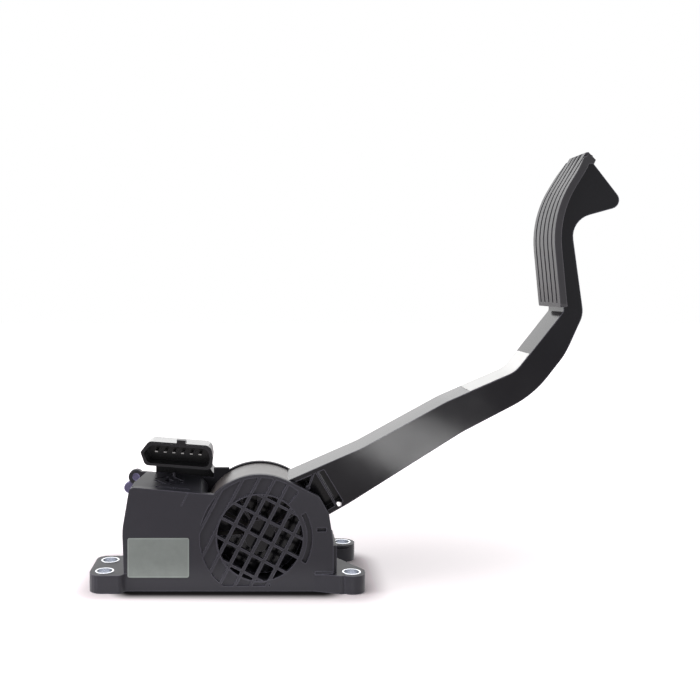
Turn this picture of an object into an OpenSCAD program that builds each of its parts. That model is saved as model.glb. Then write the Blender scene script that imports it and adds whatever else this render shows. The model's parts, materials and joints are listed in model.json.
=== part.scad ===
// Electronic accelerator pedal: housing with a side grille, drum arm, tread pad, sensor and connector.
// X runs from the housing to the tread pad, Y away from the grille side, Z up.
// The origin is on the base's underside, straight below the pivot and midway between the side walls.

/* [Pivot and drum] */
// Height of the pivot axis over the base's underside
pivot_z = 29.6; // [28:0.1:33]
// Outer radius of the drum that the arm grows out of
drum_r = 34.9; // [33:0.1:35.5]
// Wall of the drum's shell
drum_t = 2.5; // [2:0.1:3.5]
// Height over the base flange at which the drum's shell ends behind
drum_end_up = 0.1; // [0:0.1:3]
// Gap between the drum's rims and the side walls
side_gap = 0.9; // [0.6:0.1:1.5]
// Thickness of the drum's web
web_t = 2.5; // [2:0.1:3]
// Room left between the outer return spring's last coil and the side cover
spring_room = 3.3; // [2:0.1:4.5]
// Radius of the steel pivot shaft
shaft_r = 5; // [4:0.1:5.5]
// Wall of the plain bearings
bearing_t = 1.9; // [1.5:0.1:2.2]
// Full travel of the pedal in degrees
travel_a = 20; // [14:1:20]

/* [Housing] */
// Width over the two side walls
body_w = 37; // [36:0.1:40]
// Thickness of the side walls
wall_t = 3; // [2.4:0.1:3.2]
// Thickness of the box's roof, end and inner walls
shell_t = 2.6; // [2:0.1:3]
// Distance from the pivot to the box's far left end
box_l = 76.6; // [74:0.1:80]
// Height of the box's top left corner
box_h = 57.9; // [55:0.1:60]
// Slope of the box's roof towards the drum in degrees
roof_a = 5; // [3:0.5:6]
// Rise of the roof from the grille side to the cover side
roof_rise = 1.6; // [0.5:0.1:2]
// Distance from the pivot to the side walls' right end
wall_r = 40.8; // [40:0.1:43]
// Gap between the drum and what stands around it
drum_gap = 1.5; // [1:0.1:2]

/* [Side grille] */
// Radius of the round grille window
window_r = 23.9; // [20:0.1:25]
// Lean of the grille's main bars from level, in degrees
bar_a = 62.3; // [55:0.1:70]
// Distance between the main bars
bar_pitch = 7.85; // [7:0.05:9]
// Width of the main bars
bar_w = 1.85; // [1.2:0.05:2.2]
// Distance between the cross bars
cross_pitch = 10.45; // [9:0.05:12]
// Width of the cross bars
cross_w = 1.5; // [0.8:0.05:1.8]
// Radius of the shallow recess around the window
recess_r = 33.5; // [30:0.1:34]
// Depth of that recess
recess_d = 1.1; // [0.4:0.1:1.4]
// Depth of the half moon groove beside the window
groove_d = 2.1; // [1:0.1:2.3]

/* [Base and feet] */
// Height of the base flange
base_h = 10; // [9:0.1:11]
// Radius of the round bolt bosses
boss_r = 7.6; // [7:0.1:8.5]
// Radius of the bolt clearance inside a steel bush
bolt_r = 4.25; // [3.5:0.05:4.5]
// Outer radius of a steel bush
bush_r = 5.2; // [5:0.05:6]
// Height of a steel bush over the base flange
bush_up = 0.25; // [0.1:0.05:0.5]
// Distance from the box's left end to the left pair of bolts
left_out = 10.4; // [9:0.1:13]
// Distance between the left bolts
left_span = 19.6; // [18:0.1:22]
// Distance from the middle plane to the near left bolt
left_near = 14.4; // [13:0.1:16]
// Distance from the pivot to the right pair of bolts
right_x = 51.1; // [50:0.1:54]
// Distance between the right bolts
right_span = 58; // [56:0.5:62]
// Distance from the middle plane to the near right bolt
right_near = 16.1; // [15:0.1:17]
// Thickness of the base's floor over the pockets in its underside
floor_t = 2.8; // [2.4:0.1:3]

/* [Arm] */
// Setback of the arm's sides from the drum's rims
arm_back = 1.6; // [0.6:0.1:2.6]
// Thickness of the arm's flanges
flange_t = 2.6; // [2:0.1:3.2]
// Thickness of the arm's smooth side web
skin_t = 2.2; // [1.8:0.1:2.8]
// Thickness of the ribs inside the arm
rib_t = 1.5; // [1.2:0.1:2]
// Length of the top flange's first leg, beside the drum
leg1_l = 43.8; // [42:0.1:46]
// Lean of the first leg from level
leg1_a = 23.6; // [22:0.1:25]
// Length of the second leg
leg2_l = 54.7; // [52:0.1:57]
// Lean of the second leg
leg2_a = 28.7; // [27:0.1:30]
// Length of the third leg, up to the bend
leg3_l = 42; // [40:0.1:44]
// Lean of the third leg
leg3_a = 23.4; // [22:0.1:25]
// Length of the fourth leg, from the bend to the pad
leg4_l = 43; // [41:0.1:45]
// Lean of the fourth leg
leg4_a = 51.5; // [50:0.1:53]
// Depth of the arm at the first knee
depth1 = 22.5; // [21:0.1:24]
// Depth of the arm at the second knee
depth2 = 19.2; // [18:0.1:21]
// Depth of the arm at the bend
depth3 = 16.4; // [15:0.1:18]
// Depth of the arm's neck under the pad
depth4 = 11.2; // [10:0.1:12.5]

/* [Pad] */
// Width of the tread pad
pad_w = 38.8; // [36:0.1:42]
// Thickness of the tread pad
pad_t = 3.9; // [3.5:0.1:4.5]
// Length of the pad's straight lower stretch
pad_low_l = 32.6; // [30:0.1:35]
// Lean of that stretch from level
pad_low_a = 95.3; // [94:0.1:97]
// Radius of the tread face's bend
pad_r = 60; // [50:1:70]
// Lean of the pad's upper stretch from level
pad_top_a = 58.5; // [55:0.5:62]
// Length of the upper stretch
pad_top_l = 20.4; // [18:0.1:22]
// Thickness of the pad's top lip
lip_t = 6.2; // [5:0.1:7]
// Distance between the tread grooves
tread_pitch = 7.1; // [6:0.1:7.4]
// Width of a tread groove
tread_w = 2; // [1.4:0.1:2.6]
// Depth of a tread groove
tread_d = 1.1; // [0.8:0.1:1.6]

/* [Sensor and connector] */
// Depth of the sensor body behind the side cover
sensor_d = 15; // [13:0.5:17]
// Radius of the sensor body around the pivot
sensor_r = 25; // [22:0.5:27]
// Thickness of the sensor lid
lid_t = 2.5; // [2:0.1:3]
// Wall of the sensor body
sensor_t = 2; // [1.6:0.1:2.5]
// Width of the connector shell
plug_w = 39.6; // [38:0.1:42]
// Height of the connector shell
plug_h = 13; // [12:0.1:14]
// Wall of the connector shell
plug_t = 1.3; // [1:0.1:1.6]
// Length of the connector shell
plug_l = 19.5; // [18:0.1:21]
// Depth of the connector's socket
socket_d = 14; // [12:0.1:15]
// Distance between the terminals
pin_pitch = 5; // [4.8:0.1:5.2]
// Length of a terminal inside the socket
pin_l = 8.5; // [8:0.5:11]

/* [Springs and fasteners] */
// Wire of the outer return spring
outer_wire = 2.6; // [2:0.1:2.8]
// Wire of the inner return spring
inner_wire = 2; // [1.6:0.1:2.2]
// Turns of the return springs
spring_turns = 3.75; // [2.75:1:3.75]
// Radius of the screws' shanks
screw_r = 1.9; // [1.5:0.1:2.1]
// Radius of the screws' heads
head_r = 3.4; // [3:0.1:3.8]

/* [Hidden] */
$fn = 64;

// Clearances: a free fit, a seated fit and the running fit of the shaft
free_gap = 0.3;
seat_gap = 0.05;
run_gap = 0.05;
// Overlap that makes neighbouring features of one moulding a single solid
fuse = 0.5;

wall_y = body_w / 2;
inner_y = wall_y - wall_t;
drum_y = inner_y - side_gap;
arm_y = drum_y - arm_back;
cavity_r = drum_r + drum_gap;
near_arc_r = drum_r + 0.4;
far_arc_r = drum_r + 0.9;
recess_gap_r = window_r + 0.8;
drum_end_a = 180 + asin((pivot_z - base_h - drum_end_up) / drum_r);

// The web that joins the drum to the hub, and the static bearing boss behind it
coil_gap = 0.25;
outer_pitch = outer_wire + coil_gap;
inner_pitch = inner_wire + 2 * coil_gap;
web_y1 = inner_y - spring_room - outer_wire - outer_pitch * spring_turns;
web_y0 = web_y1 - web_t;
hub_r = shaft_r + 4;
boss_y0 = web_y1 + 1.2;
bearing_r = shaft_r + run_gap + bearing_t;
bearing_l = 6;
bearing_boss_r = bearing_r + 3.4;

// Unit vector at angle a, and points of an arc in the XZ plane
function dir(a) = [cos(a), sin(a)];
function arc(c, r, a0, a1, n) = [for (i = [0:n]) c + r * dir(a0 + (a1 - a0) * i / n)];
// Corner list [x, z, r] to an outline whose corners are rounded by tangent arcs
function unit(v) = v / norm(v);
function corner(a, b, c, r, n) =
  let (u = unit(a - b), v = unit(c - b), half = acos(max(-1, min(1, u * v))) / 2)
  r <= 0 || half > 89.5 ? [b] :
  let (t = r / tan(half), m = b + unit(u + v) * r / sin(half),
       s = b + u * t - m, e = b + v * t - m,
       a0 = atan2(s[1], s[0]), d = atan2(e[1], e[0]) - a0,
       sweep = d > 180 ? d - 360 : d < -180 ? d + 360 : d)
  [for (i = [0:n]) m + r * dir(a0 + sweep * i / n)];
function rounded(p, n = 6) = [for (i = [0:len(p) - 1])
  let (k = len(p), a = p[(i + k - 1) % k], b = p[i], c = p[(i + 1) % k])
  each corner([a[0], a[1]], [b[0], b[1]], [c[0], c[1]], b[2], n)];

// An outline in the XZ plane given a thickness from y0 to y1
module slab(y0, y1) {
  translate([0, y1, 0]) rotate([90, 0, 0]) linear_extrude(y1 - y0) children();
}
// A round bar along Y from y0 to y1
module bar_y(x, z, r, y0, y1) {
  translate([x, y1, z]) rotate([90, 0, 0]) cylinder(h = y1 - y0, r = r);
}
module tube_y(x, z, r, hole_r, y0, y1) {
  difference() {
    bar_y(x, z, r, y0, y1);
    bar_y(x, z, hole_r, y0 - 1, y1 + 1);
  }
}
// A strip of width w through point p along angle a, in the XZ plane
module strip(p, a, w, l) {
  translate(p) rotate(a) square([l, w], center = true);
}
// A spring post at angle a around the pivot
module post(a, y0, y1) {
  bar_y(post_at * cos(a), pivot_z + post_at * sin(a), post_r, y0, y1);
}
// A pie slice of the XZ plane around the pivot
module slice(r, a0, a1) {
  polygon(concat([[0, pivot_z]], arc([0, pivot_z], r, a0, a1, 24)));
}
module ring(r, hole_r) {
  translate([0, pivot_z]) difference() {
    circle(r);
    circle(hole_r);
  }
}

// Outline of a side wall: straight end, sloping roof, round top over the drum and a leaning right end
function roof_z(x) = box_h - (x + box_l - 4) * tan(roof_a);
function wall_outline(arc_r, rise) =
  let (top_z = box_h + rise, right = wall_r,
       join_a = 180 - asin((roof_z(-arc_r * 0.73) + rise - pivot_z) / arc_r))
  concat(
    rounded([[-box_l + 1.3, -1, 0], [-box_l, 34, 40], [-box_l + 4, top_z, 3], [-arc_r * 0.73 - 8,
      roof_z(-arc_r * 0.73 - 8) + rise, 0]]),
    arc([0, pivot_z], arc_r, join_a, 64, 18),
    rounded([[arc_r * cos(64), pivot_z + arc_r * sin(64), 0], [right - 7.9, pivot_z + 23, 3], [right - 2.4, pivot_z + 13.4, 4],
      [right, pivot_z - 2, 20], [right, -1, 0], [0, -1, 0]]));
module wall_shape(arc_r, rise) {
  intersection() {
    polygon(wall_outline(arc_r, rise));
    translate([-200, 0]) square([400, 200]);
  }
}

// Neck that carries the connector over the box, and the connector's middle
neck_x0 = -box_l + 14.6;
neck_x1 = neck_x0 + 31;
neck_z = box_h + 16.6;
plug_c = [neck_x0 + 15.1, box_h + 15.4];

// Base flange seen from above, with its bolt bosses
left_x = box_l + left_out;
left_y0 = -left_near;
left_y1 = left_y0 + left_span;
right_y0 = -right_near;
right_y1 = right_y0 + right_span;
ear_edge = 8.2;
back_y = wall_y + sensor_d + lid_t;
bolts = [[-left_x, left_y0], [-left_x, left_y1], [right_x, right_y0], [right_x, right_y1]];
module base_plan() {
  polygon(rounded([
    [-left_x - ear_edge, left_y0 - boss_r - 0.3, 7],
    [-box_l - 0.6, left_y0 - boss_r - 0.3, 3],
    [-box_l + 2, -wall_y, 2],
    [30, -wall_y, 8],
    [right_x - 6, right_y0 - boss_r + 0.6, 4],
    [right_x + boss_r, right_y0, 3],
    [right_x + boss_r, right_y0 + 4, 4],
    [right_x - 6.1, right_y0 + 26, 6],
    [wall_r + 2.1, right_y0 + 32, 3],
    [wall_r + 2.1, right_y1 - boss_r, 2],
    [right_x, right_y1 - boss_r, 0],
    [right_x, right_y1 + boss_r, 0],
    [wall_r - 4, right_y1 + boss_r, 6],
    [wall_r - 9, back_y, 3],
    [-box_l + 12, back_y, 3],
    [-box_l + 6, wall_y, 5],
    [-box_l + 1, left_y1 + boss_r + 1, 4],
    [-left_x - ear_edge, left_y1 + boss_r + 1, 6]]));
  translate(bolts[2]) circle(boss_r);
  translate(bolts[3]) circle(boss_r);
}

// Pockets in the base's underside between its ribs, clear of the bolts and of the drum's space
pocket_w = 16;
pocket_d = 14;
rib_pitch_x = pocket_w + rib_t + 1;
rib_pitch_y = pocket_d + rib_t + 1;
module base_pockets() {
  for (i = [0:floor((box_l + wall_r - 5) / rib_pitch_x)], j = [0:2]) {
    x = -box_l + 5 + i * rib_pitch_x;
    y = -wall_y + shell_t + j * rib_pitch_y;
    under_drum = j < 2 && x + pocket_w > -cavity_r && x < stop_x0;
    past_edge = (j == 2 && x < -box_l + 10) || x + pocket_w > wall_r;
    if (!under_drum && !past_edge)
      translate([x, y, -1]) cube([pocket_w, pocket_d, base_h - floor_t + 1]);
  }
}

// Grille bars of one family: angle, pitch, width, how many each side of the middle
module bars(a, pitch, w, n, l) {
  translate([0, pivot_z]) for (k = [-n:n])
    rotate(a) translate([0, k * pitch]) square([l, w], center = true);
}
module window_cut() {
  translate([0, pivot_z]) circle(window_r);
}
module grille_bars() {
  bars(bar_a, bar_pitch, bar_w, 2, 3 * window_r);
  bars(bar_a - 90, cross_pitch, cross_w, 2, 3 * window_r);
}

// Cover screws: where the side cover is held to the housing's bosses
friction_coil_r = 4.4;
friction_wire = 1.4;
screw_boss_r = screw_r + 2.4;
over_spring_z = pivot_z + friction_coil_r + friction_wire / 2 + screw_boss_r + 2;
cover_screws = [[-box_l + 14, base_h + 7], [-box_l + 14, over_spring_z], [-41, base_h + 5.5],
  [wall_r - 4.6, base_h + 5.2]];
cover_screw_l = 12;
pilot_r = screw_r - 0.25;

// Box cavity inside its walls
module box_cavity() {
  intersection() {
    offset(delta = -shell_t) wall_shape(near_arc_r, 0);
    translate([cavity_x0, base_h]) square([cavity_x1 - cavity_x0, 100]);
  }
}
// The end wall leans in plan: the far end of the roof is shorter
lean_a = 10;
lean_x = -box_l + 3.8;
cavity_x0 = lean_x + 2 * inner_y * tan(lean_a) + shell_t;
cavity_x1 = -cavity_r - shell_t - 6;
box_x1 = -cavity_r + 5.9;
line_x = box_x1 - 11.3;
roll_r = 8;
shoe_h = 16;
shoe_w = 18;
shoe_face_r = drum_r + free_gap;
shoe_l = 9;
spring_wall_x = cavity_x0 - fuse;
shoe_back = -shoe_face_r - shoe_l;
spring_wall_t = 2.2;
// End block that carries the full travel stop, just below the arm's corner at full travel
stop_t = 1.7;
root_low = [38.8, pivot_z + 11.7];
root_r = norm(root_low - [0, pivot_z]);
root_a = atan2(root_low[1] - pivot_z, root_low[0]);
stop_block_z = pivot_z + root_r * sin(root_a - travel_a) - stop_t - 0.9;
stop_x0 = 33.2;
stop_x1 = wall_r - 0.8;

module box_mid() {
  difference() {
    intersection() {
      wall_shape(near_arc_r, 0);
      translate([-box_l - 10, base_h - fuse]) square([box_l + 10 + box_x1, 100]);
    }
    box_cavity();
    translate([0, pivot_z]) circle(cavity_r);
  }
}
// Wedge that lifts the roof towards the cover side
module roof_wedge() {
  x0 = -box_l + 5;
  l = box_x1 - x0;
  translate([x0, 0, roof_z(x0) - 1]) rotate([0, roof_a, 0])
    rotate([90, 0, 90]) linear_extrude(l)
      polygon([[-inner_y, 0], [inner_y, 0], [inner_y, 1 + roof_rise], [-inner_y, 0.9]]);
}
// Roof relief: a diamond of four slots around a lozenge, and two long slots along the near edge
module roof_slots() {
  d = 1.2;
  translate([plug_c[0] - 6.1, 2.4, roof_z(plug_c[0] - 6.1)]) rotate([0, roof_a, 0]) translate([0, 0, -d]) {
    for (s = [0:3]) rotate(45 + s * 90) translate([5.6, -4.6, 0]) cube([1.9, 9.2, 6]);
    rotate(45) translate([-2.2, -2.2, 0]) cube([4.4, 4.4, 6]);
    translate([-6, -15.4, 0]) cube([10.4, 1.9, 6]);
    translate([5.5, -15.4, 0]) cube([7.5, 1.9, 6]);
  }
}

module housing() {
  color([0.21, 0.21, 0.23]) union() {
    idle_seat();
    intersection() {
      slab(-wall_y + 0.2, -inner_y) grille_bars();
      slab(-wall_y, -inner_y) translate([0, pivot_z]) circle(window_r + fuse);
    }
    difference() {
      housing_block();
      housing_cuts();
    }
  }
}
// Everything of the housing before its openings are cut
module housing_block() {
  slab(-wall_y, -inner_y) wall_shape(near_arc_r, 0);
  // Fine parting line on the near wall
  slab(-wall_y - 0.25, -wall_y + fuse) strip([line_x, roof_z(line_x) - 4], 62, 0.5, 8.4);
  // Base flange, end wall, roof and inner wall of the box
  linear_extrude(base_h) base_plan();
  slab(-inner_y - fuse, inner_y) box_mid();
  roof_wedge();
  slab(-inner_y - fuse, inner_y) translate([spring_wall_x, base_h - fuse])
    square([spring_wall_t, pivot_z + 8 - base_h + fuse]);
  // Block under the full travel stop, and the ramp beside the near right boss
  slab(-inner_y - fuse, inner_y) translate([stop_x0, base_h - fuse])
    square([wall_r + 2.1 - stop_x0, stop_block_z - base_h + fuse]);
  translate([30.5, -wall_y - 0.1, base_h - fuse]) rotate([90, 0, 90]) linear_extrude(10)
    polygon([[1, 0], [-1.6, 0], [1, 2.4]]);
  // Screw bosses
  for (p = cover_screws) intersection() {
    bar_y(p[0], p[1], screw_boss_r, -inner_y - fuse, inner_y);
    slab(-inner_y - fuse, inner_y) wall_shape(near_arc_r, 0);
  }
  spring_spigot();
  // Small post on the roof under the connector
  translate([plug_c[0] - 3.5, 12, roof_z(plug_c[0] - 3.5)]) cylinder(h = 3.4, r = 1);
}
module housing_cuts() {
  base_pockets();
  slab(-wall_y - 1, -inner_y + 1) window_cut();
  // Drum's running space down to the base's floor
  intersection() {
    bar_y(0, pivot_z, cavity_r - 0.3, -inner_y, inner_y);
    translate([-100, -50, floor_t + 1.2]) cube([100 + stop_x0 - 2, 100, 100]);
  }
  // Recess and half moon groove around the window, with the main bars left standing
  slab(-wall_y - 1, -wall_y + recess_d) difference() {
    intersection() {
      ring(recess_r, recess_gap_r);
      slice(60, 50, 282);
      translate([-60, 3]) square([120, 100]);
    }
    bars(bar_a, bar_pitch, bar_w * 0.8, 4, 4 * window_r);
  }
  slab(-wall_y - 1, -wall_y + groove_d) intersection() {
    ring(window_r + 5.2, window_r + 2.4);
    slice(60, -29, 29);
  }
  translate([31.8, -wall_y - 1, pivot_z + 3.6]) cube([5, 3, 2]);
  roof_slots();
  // The roof rolls down towards the drum behind the near wall
  slab(-inner_y - 0.3, inner_y + 1) translate([box_x1 - roll_r, roof_z(box_x1 - roll_r) + roof_rise + 0.4 - roll_r])
    difference() {
      square([roll_r + 1, roll_r + 4]);
      circle(roll_r);
    }
  // The end wall leans in plan behind the near wall
  translate([lean_x, -inner_y, base_h]) linear_extrude(80)
    polygon([[0, 0], [3 * inner_y * tan(lean_a), 3 * inner_y], [-30, 3 * inner_y], [-30, 0]]);
  // Way for the friction shoe through the inner wall
  translate([shoe_back - 6, -shoe_w / 2 - free_gap, pivot_z - shoe_h / 2 - free_gap])
    cube([20, shoe_w + 2 * free_gap, shoe_h + 2 * free_gap]);
  for (p = bolts) translate([p[0], p[1], -1]) cylinder(h = base_h + 2, r = bush_r + seat_gap);
  for (p = cover_screws) bar_y(p[0], p[1], pilot_r + 0.3, inner_y - cover_screw_l, inner_y + 1);
  // Slot across the front of the far right boss
  translate([right_x - 5.5, right_y1 - boss_r - 1, base_h - 2.1]) cube([9.8, 2, 1.1]);
  // The side cover stands here
  translate([-box_l - 20, inner_y, base_h]) cube([box_l + 20 + wall_r + 5, wall_t, 60]);
}
// Ledge that the idle stop is fixed to, below the end of the drum's shell
idle_a = drum_end_a + 3;
module idle_seat() {
  intersection() {
    slab(-inner_y - fuse, -inner_y + 12) intersection() {
      ring(drum_r + 3, drum_r - drum_t - 2);
      slice(60, idle_a + 3.6, idle_a + 12);
    }
    translate([-60, -50, 0]) cube([60, 100, 60]);
  }
}
module idle_stop() {
  color([0.09, 0.09, 0.09]) slab(-inner_y + seat_gap, -inner_y + 11) intersection() {
    ring(drum_r - 0.2, drum_r - drum_t + 0.2);
    slice(60, drum_end_a + 0.55, idle_a + 3.5);
  }
}
module full_travel_stop() {
  color([0.09, 0.09, 0.09]) slab(-8, 8) translate([stop_x0 + 0.6, stop_block_z + seat_gap])
    square([stop_x1 - stop_x0 - 1.2, stop_t - 0.3]);
}

// Far side wall with the static bearing boss and the sleeve that the outer spring sits on
sleeve_t = 2;
inner_coil_r = bearing_boss_r + free_gap + inner_wire / 2;
sleeve_r0 = inner_coil_r + inner_wire / 2 + 1;
sleeve_r1 = sleeve_r0 + sleeve_t;
outer_coil_r = sleeve_r1 + free_gap + outer_wire / 2;
step_x0 = -27.4;
step_x1 = -18.3;
plug_pos = [-box_l + 3, box_h - 1.8];
lobe_pos = [-box_l - 1.2, box_h - 8.8];
plug_hole_r = 2.2;
module side_cover() {
  color([0.2, 0.2, 0.22]) difference() {
    union() {
      slab(inner_y + seat_gap, wall_y) intersection() {
        union() {
          wall_shape(far_arc_r, roof_rise);
          translate([step_x0, pivot_z]) square([step_x1 - step_x0, far_arc_r - 3.8]);
          translate(plug_pos) circle(4.4);
          translate([wall_r - 10, base_h]) square([12, 14]);
        }
        translate([-200, base_h + seat_gap]) square([400, 200]);
      }
      bar_y(0, pivot_z, bearing_boss_r, boss_y0, wall_y);
      post(anchor_a + 22, spring_y1 - outer_wire / 2, inner_y + 1);
      tube_y(0, pivot_z, sleeve_r1, sleeve_r0, boss_y0 + 4, wall_y - 1);
    }
    bar_y(0, pivot_z, bearing_r + seat_gap, boss_y0 - 1, wall_y + 1);
    tang(inner_a1, tang_r + seat_gap, inner_y - 1, inner_y + tang_l + 0.2);
    for (p = cover_screws) bar_y(p[0], p[1], screw_r + 0.2, inner_y - 1, wall_y + 1);
    for (p = cover_screws) bar_y(p[0], p[1], head_r + free_gap, wall_y - 1, wall_y + 1);
    for (p = sensor_screws) bar_y(p[0], p[1], pilot_r + 0.3, inner_y + 0.6, wall_y + 1);
    bar_y(plug_pos[0], plug_pos[1], plug_hole_r + seat_gap, inner_y - 1, wall_y + 1);
  }
}
// The outer spring's legs: the fixed one bears on a post of the side cover, the other on a post of the drum
post_r = 1.5;
post_at = outer_coil_r + outer_wire / 2 + post_r + 1.7;
post_over_base = 5;
anchor_a = 338 - asin((pivot_z - base_h - post_over_base) / post_at);
start_a = anchor_a - 360 * spring_turns;

// Arm outline: knees of the top flange, and the bottom edge found from the depths at the knees
root_top = [17, pivot_z + 31.4];
knee1 = root_top + leg1_l * dir(leg1_a);
knee2 = knee1 + leg2_l * dir(leg2_a);
knee3 = knee2 + leg3_l * dir(leg3_a);
neck_top = knee3 + leg4_l * dir(leg4_a);
low1 = knee1 + depth1 * dir((leg1_a + leg2_a) / 2 - 90);
low2 = knee2 + depth2 * dir((leg2_a + leg3_a) / 2 - 90);
low3 = knee3 + depth3 * dir((leg3_a + leg4_a) / 2 - 90);
heel = low3 + 29.2 * dir(52);
neck_low = neck_top + [depth4, -1.4];

// Tread face: straight, bent, straight
pad_low = [neck_top[0] - 4, neck_top[1] + 2.6];
pad_mid = pad_low + pad_low_l * dir(pad_low_a);
pad_c = pad_mid + pad_r * dir(pad_low_a - 90);
pad_bend = pad_c + pad_r * dir(pad_top_a + 90);
pad_top = pad_bend + pad_top_l * dir(pad_top_a);
// The tread face moved back by d
function pad_line(d) = concat(
  [pad_low + d * dir(pad_low_a - 90)],
  arc(pad_c, pad_r - d, pad_low_a + 90, pad_top_a + 90, 10),
  [pad_top + d * dir(pad_top_a - 90)]);
function flip(p) = [for (i = [len(p) - 1:-1:0]) p[i]];
module pad_band(d0, d1) {
  polygon(concat(pad_line(d0), flip(pad_line(d1))));
}

// Wing behind the pad's top
wing_low = [neck_low[0] - 7.1, neck_low[1] + 52.9];
wing_tip = [neck_low[0] + 23.6, neck_low[1] + 61.4];
wing_root = pad_top + (pad_t + seat_gap) * dir(pad_top_a - 90) - 1.5 * dir(pad_top_a);
function arm_points() = concat(
  rounded([[root_top[0] - 6, root_top[1] - 2.6, 0], [knee1[0], knee1[1], 60], [knee2[0], knee2[1], 60],
    [knee3[0], knee3[1], 16], [neck_top[0], neck_top[1], 2.5],
    [pad_low[0] + pad_t + seat_gap, pad_low[1] + 2, 0]], 5),
  [for (p = pad_line(pad_t + seat_gap)) if (p[1] > pad_low[1] + 3 && p[1] < wing_root[1] - 1) p],
  rounded([[wing_root[0], wing_root[1], 0], [wing_tip[0], wing_tip[1], 5], [wing_low[0], wing_low[1], 12.5],
    [neck_low[0], neck_low[1], 14], [heel[0], heel[1], 40], [low3[0], low3[1], 60],
    [low2[0], low2[1], 60], [low1[0], low1[1], 60], [root_low[0] + 11, root_low[1] + 6.2, 30],
    [root_low[0], root_low[1], 6], [8, pivot_z + 2, 0], [4, pivot_z + 16, 0]], 8));
module arm_shape() {
  polygon(arm_points());
}
module arm_inside() {
  offset(delta = -flange_t) arm_shape();
}
// The smooth web starts at this line; left of it lies the ribbed pocket beside the drum
web_line = [41.2, 57.6];
web_line_a = -58.9;
web_line_n = dir(web_line_a + 90);
pocket_slot = 4.4;
thin_rib_t = 1.2;
module right_of_web_line(shift = 0) {
  translate(web_line) rotate(web_line_a) translate([-100, shift]) square([400, 400]);
}
// Ribs that cross the channel of the arm, in turns up and down
channel_ribs = [for (i = [0:10]) 56 + i * 12.4];
module channel_rib_lines() {
  for (i = [0:len(channel_ribs) - 1]) {
    x = channel_ribs[i];
    z = x < knee3[0] ? knee1[1] - 12 + (x - knee1[0]) * 0.52
      : knee3[1] + (x - knee3[0]) * 1.05 - 6;
    strip([x, z], (x < knee3[0] ? 27 : 50) + (i % 2 == 0 ? 62 : 118), rib_t, 60);
  }
  for (i = [0:5]) strip([173, 163 + i * 12.5], i % 2 == 0 ? 30 : -26, rib_t, 60);
}

module pedal_arm() {
  color([0.16, 0.16, 0.18]) difference() {
    union() {
      // Flanges, smooth near web and the ribs of the channel
      difference() {
        slab(-arm_y, arm_y) difference() {
          arm_shape();
          arm_inside();
        }
        bar_y(0, pivot_z, drum_r - 1, -20, 20);
      }
      slab(-arm_y, -arm_y + skin_t) intersection() {
        arm_shape();
        right_of_web_line();
      }
      slab(-arm_y + 1, arm_y - 3) intersection() {
        arm_shape();
        channel_rib_lines();
        right_of_web_line(8);
      }
      // Pocket beside the drum: its floor, its ribs and its round boss
      slab(web_y0, web_y1) intersection() {
        arm_shape();
        square([knee1[0] + 5, knee1[1] + 12]);
      }
      slab(-arm_y, web_y1) intersection() {
        arm_shape();
        union() {
          strip(web_line - pocket_slot * web_line_n, web_line_a, thin_rib_t, 60);
          strip([28.7, pivot_z + 30.8], 71, thin_rib_t, 10);
          strip(web_line + rib_t / 2 * web_line_n, web_line_a, rib_t, 60);
        }
      }
      bar_y(27, pivot_z + 26.7, 1.3, -arm_y + 0.4, web_y1);
      // Drum: shell, web, hub and the ribs between them
      slab(-drum_y, drum_y) intersection() {
        ring(drum_r, drum_r - drum_t);
        slice(60, 40, drum_end_a);
      }
      slab(web_y0, web_y1) intersection() {
        ring(drum_r - 1, 1);
        slice(60, 14, drum_end_a);
      }
      slab(web_y0, web_y1) translate([0, pivot_z]) circle(post_at + post_r + 1);
      bar_y(0, pivot_z, hub_r, -drum_y + 1.2, web_y1 + 0.6);
      for (a = [32, 62, 92, 122, 152, 182]) slab(-drum_y + 2, web_y0 + fuse)
        strip([0, pivot_z] + 20 * dir(a), a, rib_t, 26);
      // Post that the outer spring's moving leg bears on
      post(start_a - 22, web_y0, spring_y0 + outer_wire / 2);
    }
    bar_y(0, pivot_z, shaft_r + 0.02, -drum_y + 3.2, web_y1 + 2);
    tang(inner_a0, tang_r + seat_gap, web_y1 - tang_l - 0.2, web_y1 + 1);
    // Slanted drain hole from the pocket out through the lower flange
    translate([44.5, -arm_y, 47.2]) rotate([-104, 0, 0]) translate([0, 0, -3]) cylinder(h = 24, r = 1.25);
  }
}

// Pad: a bent plate with a lip, tread grooves and cut top corners
pad_shift = -0.7;
module pedal_pad() {
  y0 = pad_shift - pad_w / 2;
  y1 = pad_shift + pad_w / 2;
  color([0.2, 0.2, 0.21]) difference() {
    intersection() {
      // Outline from the front, with rounded lower corners and cut top corners
      translate([pad_low[0] - 20, 0, 0]) rotate([90, 0, 90]) linear_extrude(60)
        polygon(rounded([[y0, pad_low[1] - 1, 3], [y1, pad_low[1] - 1, 3], [y1, pad_top[1] - 10, 8],
          [y1 - 6.5, pad_top[1] + 2, 2], [y0 + 6.5, pad_top[1] + 2, 2], [y0, pad_top[1] - 10, 8]]));
      union() {
        slab(y0, y1) pad_band(0, pad_t);
        slab(y0, y1) translate(pad_top) rotate(pad_top_a) polygon([[-7, -1.5], [0, 0], [0.8, -1],
          [-1.6, -lip_t], [-4.2, -lip_t], [-6, -pad_t + 0.4]]);
      }
    }
    for (k = [-2:2]) slab(pad_shift + k * tread_pitch - tread_w / 2, pad_shift + k * tread_pitch + tread_w / 2)
      difference() {
        pad_band(-1, tread_d);
        translate([pad_low[0] - 20, pad_low[1] - 20]) square([60, 22.4]);
      }
    // Wing and arm flange stand in the pad's back
    slab(-arm_y - free_gap, arm_y + free_gap) offset(delta = seat_gap) arm_shape();
  }
}

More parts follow.
